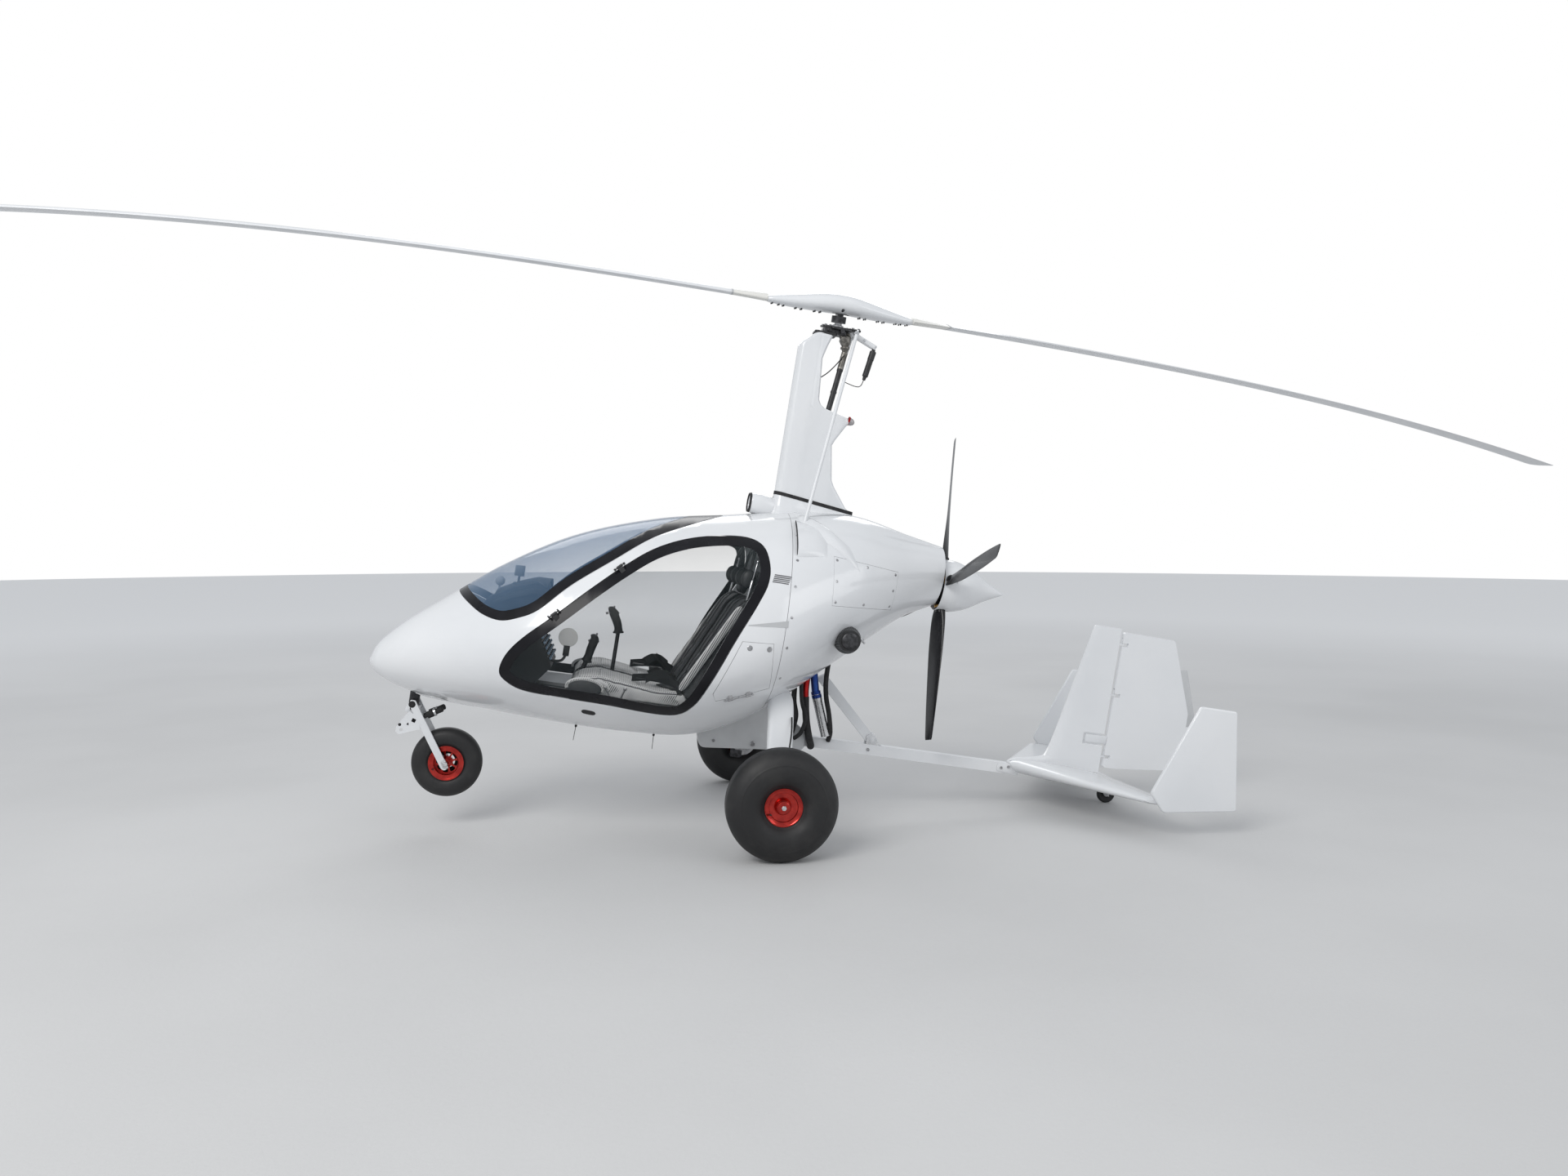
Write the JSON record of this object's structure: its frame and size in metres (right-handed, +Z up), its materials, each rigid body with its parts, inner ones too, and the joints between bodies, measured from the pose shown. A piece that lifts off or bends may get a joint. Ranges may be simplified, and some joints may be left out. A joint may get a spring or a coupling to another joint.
{
  "type": "two-seat gyrocopter",
  "caption": "Side-by-side enclosed gyrocopter with a teetering rotor on a faired mast, pusher propeller, tricycle gear and a triple-fin tail on a keel tube.",
  "frame": {"origin": "on the ground at the centre of the footprint, close under the rotor hub", "axes": "+X forward toward the nose, +Y to port, +Z up"},
  "size_m": [8.4636, 1.874, 2.9934],
  "materials": {
    "white_gloss": "gloss",
    "clear_acrylic": "gloss",
    "black_frame": "gloss",
    "tyre_rubber": "matte",
    "red_rim": "satin",
    "dark_metal": "satin",
    "cast_engine": "satin",
    "white_metal": "gloss",
    "carbon_black": "satin",
    "seat_fabric": "matte",
    "steel": "satin",
    "grey_panel": "satin",
    "wheel_black": "matte",
    "strobe_red": "gloss"
  },
  "bodies": {
    "airframe": {"air_filter": "carbon_black", "axle_left": "steel", "axle_right": "steel", "belly_pipe": "steel", "boom_strut": "white_metal", "bulkhead": "grey_panel", "cabin_shell": "white_gloss", "centre_fin": "white_gloss", "console": "carbon_black", "control_rod_left": "white_gloss", "control_rod_right": "white_gloss", "cowl_panel_left": "white_gloss", "cowl_panel_right": "white_gloss", "end_fin_left": "white_gloss", "end_fin_right": "white_gloss", "engine_block": "cast_engine", "engine_cowl": "white_gloss", "instrument_pod": "carbon_black", "keel_boom": "white_metal", "keel_fairing": "white_gloss", "main_leg_left": "white_gloss", "main_leg_right": "white_gloss", "mast_fairing": "white_gloss", "nose_bracket": "white_gloss", "prerotator_shaft": "dark_metal", "rotor_head": "dark_metal", "seat_base": "grey_panel", "seat_left": "seat_fabric", "seat_right": "seat_fabric", "strobe_light": "strobe_red", "tail_fork": "steel", "tailplane": "white_gloss", "windshield": "clear_acrylic"},
    "rotor_head_spinning": {"rotor_tower": "dark_metal"},
    "rotor": {"rotor_hub_bar": "white_gloss", "rotor_blade_front": "white_metal", "rotor_blade_rear": "white_metal"},
    "propeller": {"propeller": "carbon_black", "spinner": "white_gloss"},
    "wheel_left": {"main_rim_left": "red_rim", "main_tyre_left": "tyre_rubber"},
    "wheel_right": {"main_rim_right": "red_rim", "main_tyre_right": "tyre_rubber"},
    "nose_gear": {"nose_fork": "steel"},
    "nose_wheel": {"nose_rim": "red_rim", "nose_tyre": "tyre_rubber"},
    "tail_wheel": {"tail_wheel": "wheel_black"},
    "rudder": {"rudder": "white_gloss"},
    "door_left": {"door_left": "black_frame", "door_glass_left": "clear_acrylic"},
    "door_right": {"door_right": "black_frame", "door_glass_right": "clear_acrylic"},
    "hatch_left": {"hatch_left": "white_gloss"},
    "hatch_right": {"hatch_right": "white_gloss"}
  },
  "joints": [
    {"name": "rotor_spin", "type": "hinge", "parent": "airframe", "child": "rotor_head_spinning", "pos_m": [-0.02961, 0, 2.65611], "axis": [-0.1286, 0.1564, 0.9793], "continuous": true},
    {"name": "rotor_teeter", "type": "hinge", "parent": "rotor_head_spinning", "child": "rotor", "pos_m": [-0.02575, -0.00469, 2.62673], "axis": [-0.0079, 0.9873, -0.1587], "range_deg": [-6, 6]},
    {"name": "propeller_spin", "type": "hinge", "parent": "airframe", "child": "propeller", "pos_m": [-0.58176, 0, 1.19909], "axis": [0.9871, 0, 0.1599], "continuous": true},
    {"name": "wheel_left_spin", "type": "hinge", "parent": "airframe", "child": "wheel_left", "pos_m": [0.40674, 0.84, 0.256], "axis": [0, 1, 0], "continuous": true},
    {"name": "wheel_right_spin", "type": "hinge", "parent": "airframe", "child": "wheel_right", "pos_m": [0.40674, -0.84, 0.256], "axis": [0, 1, 0], "continuous": true},
    {"name": "nose_steer", "type": "hinge", "parent": "airframe", "child": "nose_gear", "pos_m": [2.12601, 0, 0.68034], "axis": [-0.1599, 0, 0.9871], "range_deg": [-30, 30]},
    {"name": "nose_wheel_spin", "type": "hinge", "parent": "nose_gear", "child": "nose_wheel", "pos_m": [1.97793, 0, 0.33117], "axis": [0, 1, 0], "continuous": true},
    {"name": "tail_wheel_spin", "type": "hinge", "parent": "airframe", "child": "tail_wheel", "pos_m": [-1.51505, 0, 0.05], "axis": [0, 1, 0], "continuous": true},
    {"name": "rudder_turn", "type": "hinge", "parent": "airframe", "child": "rudder", "pos_m": [-1.55204, 0, 0.59114], "axis": [-0.1599, 0, 0.9871], "range_deg": [-25, 25]},
    {"name": "door_left_lift", "type": "hinge", "parent": "airframe", "child": "door_left", "pos_m": [1.11792, 0.4828, 1.31908], "axis": [0.8052, 0.1353, -0.5774], "range_deg": [0, 75]},
    {"name": "door_right_lift", "type": "hinge", "parent": "airframe", "child": "door_right", "pos_m": [1.11792, -0.4828, 1.31908], "axis": [-0.8052, 0.1353, 0.5774], "range_deg": [0, 75]},
    {"name": "hatch_left_drop", "type": "hinge", "parent": "airframe", "child": "hatch_left", "pos_m": [0.56737, 0.5757, 0.70344], "axis": [-0.9657, -0.195, 0.1717], "range_deg": [0, 85]},
    {"name": "hatch_right_drop", "type": "hinge", "parent": "airframe", "child": "hatch_right", "pos_m": [0.56737, -0.5757, 0.70344], "axis": [0.9657, -0.195, -0.1717], "range_deg": [0, 85]}
  ]
}
